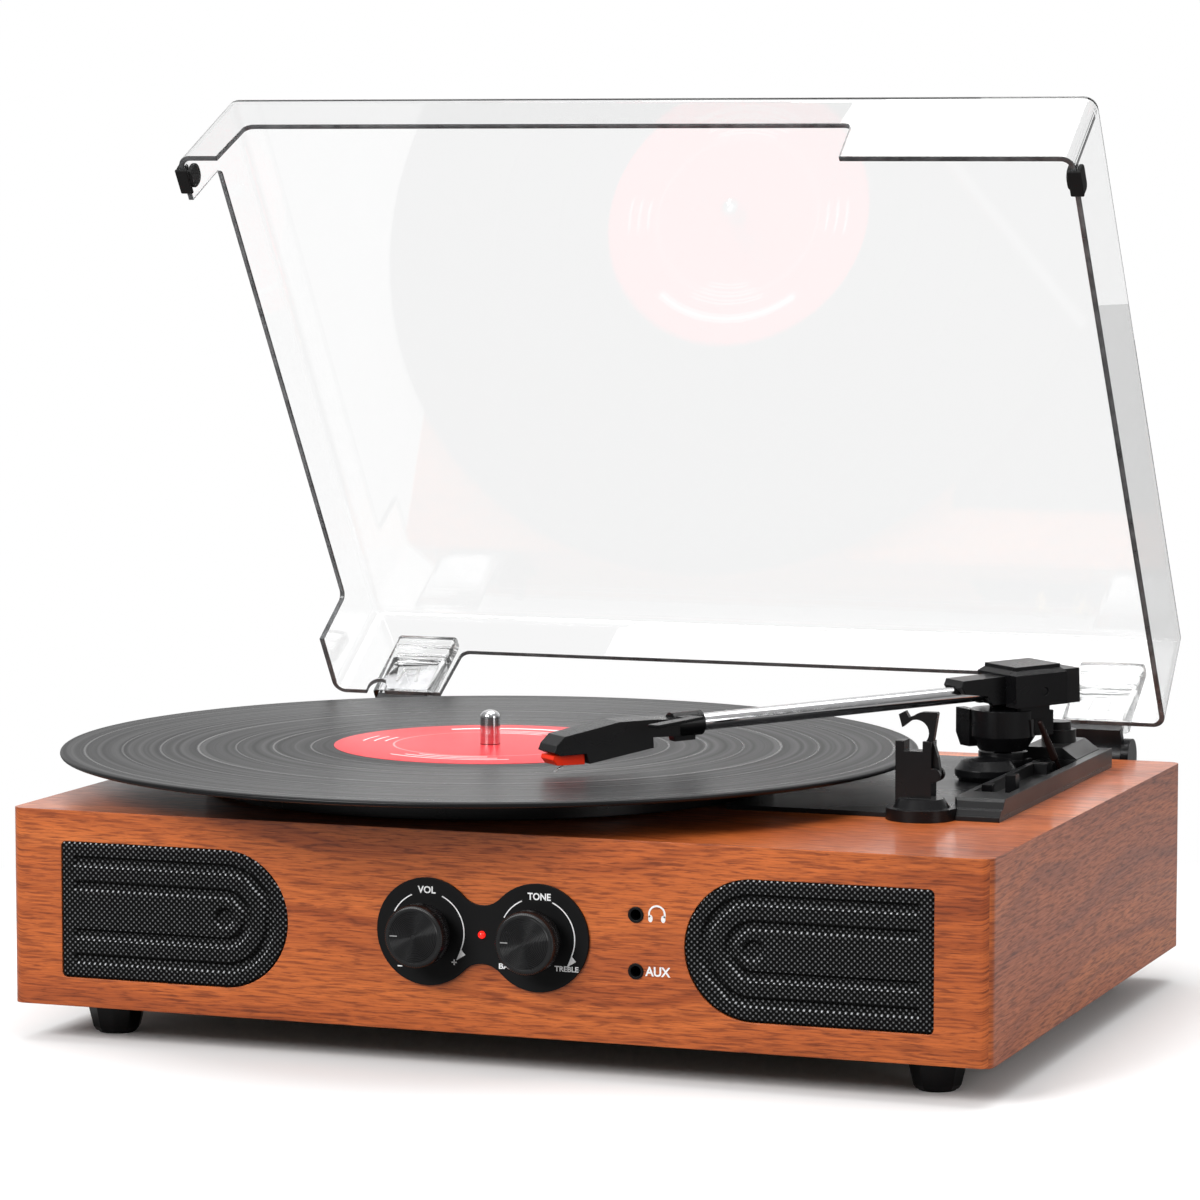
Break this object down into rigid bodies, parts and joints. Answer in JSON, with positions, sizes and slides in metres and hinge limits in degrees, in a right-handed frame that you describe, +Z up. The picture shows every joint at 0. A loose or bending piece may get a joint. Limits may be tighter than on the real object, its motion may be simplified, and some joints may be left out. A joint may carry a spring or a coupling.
{
  "type": "record player",
  "caption": "Record player in a wooden plinth with built-in speakers, belt-driven platter with a record, straight tonearm, front knobs and a hinged clear cover with cut-outs",
  "frame": {"origin": "on the floor, under the middle of the bounding box with the cover open and the record on", "axes": "+X to the right along the front, +Y to the back, +Z up"},
  "size_m": [0.3662, 0.3301, 0.3204],
  "materials": {
    "wood_veneer": "satin veneer",
    "fibreboard": "raw",
    "black_plastic": "satin moulded",
    "grey_plastic": "satin moulded",
    "black_gloss": "gloss",
    "vinyl": "grooved gloss",
    "label_paper": "printed",
    "mat_rubber": "matte",
    "pad_rubber": "matte",
    "soft_clip": "matte",
    "platter_plastic": "satin moulded",
    "steel": "zinc plated",
    "chrome": "polished",
    "brass": "turned",
    "clear_cover": "clear, thin edges dark",
    "speaker_paper": "pressed",
    "led_red": "clear red",
    "stylus_red": "gloss",
    "board_green": "solder mask",
    "belt_rubber": "matte",
    "wire_sleeve": "sleeve"
  },
  "bodies": {
    "plinth": {"cabinet": "wood_veneer", "bottom_panel": "fibreboard", "base_screws": "steel", "foot_front_left": "black_gloss", "foot_front_right": "black_gloss", "foot_rear_left": "black_gloss", "foot_rear_right": "black_gloss", "foot_pads": "pad_rubber", "grille_left": "black_plastic", "grille_right": "black_plastic", "speaker_frames": "steel", "speaker_cones": "speaker_paper", "control_panel": "black_plastic", "power_led": "led_red", "volume_pot": "steel", "tone_pot": "steel", "headphone_jack": "black_gloss", "aux_jack": "black_gloss", "amplifier_board": "board_green", "rear_jack_plate": "black_plastic", "line_out_jacks": "brass", "power_inlet": "black_plastic", "motor": "steel", "drive_belt": "belt_rubber", "bearing_bush": "brass", "deck_plate": "black_plastic", "mechanism_cover": "grey_plastic", "wire_guide_block": "grey_plastic", "arm_rest": "black_plastic", "arm_pedestal": "black_plastic", "arm_wires": "wire_sleeve", "hinge_brackets": "black_plastic", "hinge_pins": "steel"},
    "platter": {"spindle": "chrome", "platter": "platter_plastic", "platter_mat": "mat_rubber", "record": "vinyl", "record_label": "label_paper"},
    "pulley": {"motor_pulley": "brass"},
    "volume_control": {"volume_shaft": "steel", "volume_knob": "black_plastic"},
    "tone_control": {"tone_shaft": "steel", "tone_knob": "black_plastic"},
    "speed_selector": {"speed_selector": "black_plastic"},
    "auto_stop_switch": {"auto_stop_switch": "black_plastic"},
    "arm_clip": {"arm_clip": "black_plastic"},
    "arm_base": {"arm_swivel": "black_plastic", "tilt_pin": "steel"},
    "tonearm": {"arm_housing": "black_plastic", "arm_counterweight": "grey_plastic", "arm_channel": "black_plastic", "arm_tube": "chrome", "headshell": "black_plastic", "finger_lift": "chrome", "stylus_holder": "stylus_red", "stylus": "steel"},
    "lid": {"hinge_leaves": "grey_plastic", "lid": "clear_cover", "lid_bumpers": "soft_clip"}
  },
  "joints": [
    {"name": "lid_hinge", "type": "hinge", "parent": "plinth", "child": "lid", "pos_m": [0.01065, 0.13594, 0.0794], "axis": [1, 0, 0], "range_deg": [0, 56.1]},
    {"name": "platter_spin", "type": "hinge", "parent": "plinth", "child": "platter", "pos_m": [-0.03235, -0.01436, 0.09], "axis": [0, 0, 1], "continuous": true},
    {"name": "motor_spin", "type": "hinge", "parent": "plinth", "child": "pulley", "pos_m": [-0.09281, 0.0461, 0.08], "axis": [0, 0, 1], "continuous": true},
    {"name": "volume_turn", "type": "hinge", "parent": "plinth", "child": "volume_control", "pos_m": [-0.00875, -0.13736, 0.0463], "axis": [0, 1, 0], "range_deg": [-60, 240]},
    {"name": "tone_turn", "type": "hinge", "parent": "plinth", "child": "tone_control", "pos_m": [0.03005, -0.13736, 0.0463], "axis": [0, 1, 0], "range_deg": [-60, 240]},
    {"name": "speed_select", "type": "slide", "parent": "plinth", "child": "speed_selector", "axis": [0, 1, 0], "range_m": [0, 0.007]},
    {"name": "auto_stop_select", "type": "slide", "parent": "plinth", "child": "auto_stop_switch", "axis": [0, 1, 0], "range_m": [0, 0.004]},
    {"name": "arm_clip_turn", "type": "hinge", "parent": "plinth", "child": "arm_clip", "pos_m": [0.14085, -0.04836, 0.095], "axis": [0, 1, 0], "range_deg": [0, 60]},
    {"name": "tonearm_swing", "type": "hinge", "parent": "plinth", "child": "arm_base", "pos_m": [0.13565, 0.05364, 0.1], "axis": [0, 0, 1], "range_deg": [-7.5, 23.5], "deforming": ["arm_wires"]},
    {"name": "tonearm_lift", "type": "hinge", "parent": "arm_base", "child": "tonearm", "pos_m": [0.14199, 0.06071, 0.1126], "axis": [-0.7443, 0.6678, 0], "range_deg": [0, 2.5]}
  ],
  "couplings": [
    {"joint": "motor_spin", "follows": "platter_spin", "ratio": 12.98}
  ]
}
